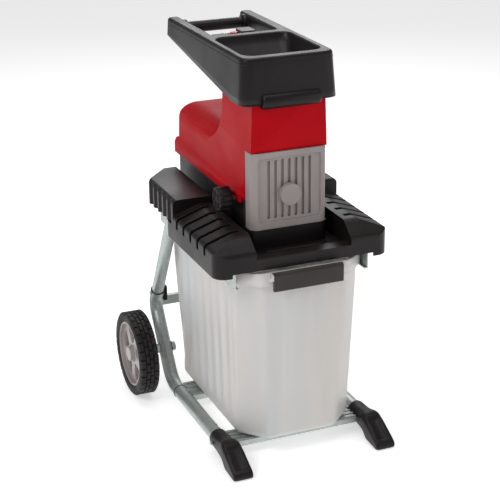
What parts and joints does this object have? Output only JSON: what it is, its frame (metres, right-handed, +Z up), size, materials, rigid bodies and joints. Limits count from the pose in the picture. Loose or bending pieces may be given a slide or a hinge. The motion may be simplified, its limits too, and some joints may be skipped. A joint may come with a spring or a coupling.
{
  "type": "wood chipper",
  "caption": "Electric garden shredder: feed hopper with handle on a red motor housing, deck on a wheeled tube frame, pull-out collection box below.",
  "frame": {"origin": "on the ground, at the middle of the machine's width and depth", "axes": "+Z up, -Y towards the front where the box pulls out, +X to the machine's right seen from the front"},
  "size_m": [0.57, 0.656, 0.95],
  "materials": {
    "black_plastic": "moulded, fine texture",
    "hopper_plastic": "moulded, satin",
    "red_plastic": "satin gloss moulded",
    "grey_plastic": "painted look, fine texture",
    "clear_plastic": "translucent milky polypropylene",
    "handle_plastic": "moulded",
    "galvanised_steel": "galvanised tube",
    "zinc_steel": "zinc plated fasteners",
    "tyre_rubber": "block tread",
    "rim_plastic": "grey moulded",
    "tool_steel": "hardened",
    "gear_steel": "oiled",
    "cast_aluminium": "sand cast",
    "copper_winding": "enamelled copper wire",
    "lamination_steel": "stacked sheet",
    "stop_red": "gloss",
    "start_cream": "gloss",
    "switch_grey": "satin",
    "capacitor_white": "smooth"
  },
  "bodies": {
    "body": {"left_rail": "galvanised_steel", "right_rail": "galvanised_steel", "left_upper_leg": "galvanised_steel", "right_upper_leg": "galvanised_steel", "frame_bolts": "zinc_steel", "front_feet": "black_plastic", "floor_braces": "galvanised_steel", "back_brace": "galvanised_steel", "axles": "zinc_steel", "axle_nuts": "zinc_steel", "housing_bolts": "zinc_steel", "deck": "black_plastic", "box_guides": "galvanised_steel", "interlock_switch": "switch_grey", "lower_housing": "black_plastic", "upper_cover": "red_plastic", "front_grille": "grey_plastic", "front_cap": "grey_plastic", "hopper": "hopper_plastic", "handle_bar": "black_plastic", "handle_bar_screws": "zinc_steel", "switch_panel": "black_plastic", "switch_housing": "switch_grey", "power_inlet": "switch_grey", "feed_chute": "cast_aluminium", "cutter_chamber": "cast_aluminium", "drum_bearings": "zinc_steel", "gearbox_plate": "cast_aluminium", "gearbox_housing": "cast_aluminium", "gear_pin": "gear_steel", "motor_frame": "cast_aluminium", "motor_end_shield": "cast_aluminium", "motor_bearings": "zinc_steel", "stator_core": "lamination_steel", "stator_windings": "copper_winding", "run_capacitor": "capacitor_white"},
    "left_wheel": {"left_tyre": "tyre_rubber", "left_rim": "rim_plastic", "left_hub_cap": "rim_plastic"},
    "right_wheel": {"right_tyre": "tyre_rubber", "right_rim": "rim_plastic", "right_hub_cap": "rim_plastic"},
    "box": {"collection_box": "clear_plastic", "box_handle_pins": "zinc_steel"},
    "box_flap": {"box_handle": "handle_plastic"},
    "rotor": {"motor_shaft": "gear_steel", "rotor_core": "lamination_steel", "motor_fan": "black_plastic"},
    "idler": {"intermediate_gear": "gear_steel"},
    "drum": {"cutting_drum": "tool_steel", "drum_shaft": "tool_steel", "drum_gear": "gear_steel"},
    "knob": {"adjusting_knob": "black_plastic", "adjusting_spindle": "zinc_steel"},
    "plate": {"counter_plate": "tool_steel"},
    "stop": {"stop_button": "stop_red"},
    "start": {"start_button": "start_cream"},
    "selector": {"direction_selector": "switch_grey"},
    "reset": {"reset_button": "switch_grey"}
  },
  "joints": [
    {"name": "left_wheel_spin", "type": "hinge", "parent": "body", "child": "left_wheel", "pos_m": [-0.26, 0.212, 0.109], "axis": [1, 0, 0], "continuous": true},
    {"name": "right_wheel_spin", "type": "hinge", "parent": "body", "child": "right_wheel", "pos_m": [0.26, 0.212, 0.109], "axis": [1, 0, 0], "continuous": true},
    {"name": "box_slide", "type": "slide", "parent": "body", "child": "box", "axis": [0, -1, 0], "range_m": [0, 0.42]},
    {"name": "box_handle_swing", "type": "hinge", "parent": "box", "child": "box_flap", "pos_m": [0, -0.276, 0.474], "axis": [-1, 0, 0], "range_deg": [0, 60]},
    {"name": "rotor_spin", "type": "hinge", "parent": "body", "child": "rotor", "pos_m": [0, 0.15, 0.655], "axis": [0, 1, 0], "continuous": true},
    {"name": "idler_spin", "type": "hinge", "parent": "body", "child": "idler", "pos_m": [0.04137, 0.01, 0.66475], "axis": [0, 1, 0], "continuous": true},
    {"name": "drum_spin", "type": "hinge", "parent": "body", "child": "drum", "pos_m": [0, -0.075, 0.627], "axis": [0, 1, 0], "continuous": true},
    {"name": "knob_turn", "type": "hinge", "parent": "body", "child": "knob", "pos_m": [-0.132, -0.092, 0.607], "axis": [1, 0, 0], "range_deg": [0, 840]},
    {"name": "plate_slide", "type": "slide", "parent": "body", "child": "plate", "axis": [1, 0, 0], "range_m": [0, 0.0035]},
    {"name": "stop_press", "type": "slide", "parent": "body", "child": "stop", "axis": [0, 0, -1], "range_m": [0, 0.003], "stiffness_N_per_m": 400, "springref_m": -0.001},
    {"name": "start_press", "type": "slide", "parent": "body", "child": "start", "axis": [0, 0, -1], "range_m": [0, 0.003], "stiffness_N_per_m": 400, "springref_m": -0.001},
    {"name": "selector_turn", "type": "hinge", "parent": "body", "child": "selector", "pos_m": [-0.024, 0.105, 0.935], "axis": [0, 0, 1], "range_deg": [-45, 45]},
    {"name": "reset_press", "type": "slide", "parent": "body", "child": "reset", "axis": [0, -1, 0], "range_m": [0, 0.0025], "stiffness_N_per_m": 300, "springref_m": -0.001}
  ],
  "couplings": [
    {"joint": "idler_spin", "follows": "rotor_spin", "ratio": -0.21429},
    {"joint": "drum_spin", "follows": "rotor_spin", "ratio": 0.058442},
    {"joint": "plate_slide", "follows": "knob_turn", "m_per_rad": 0.00023873}
  ]
}
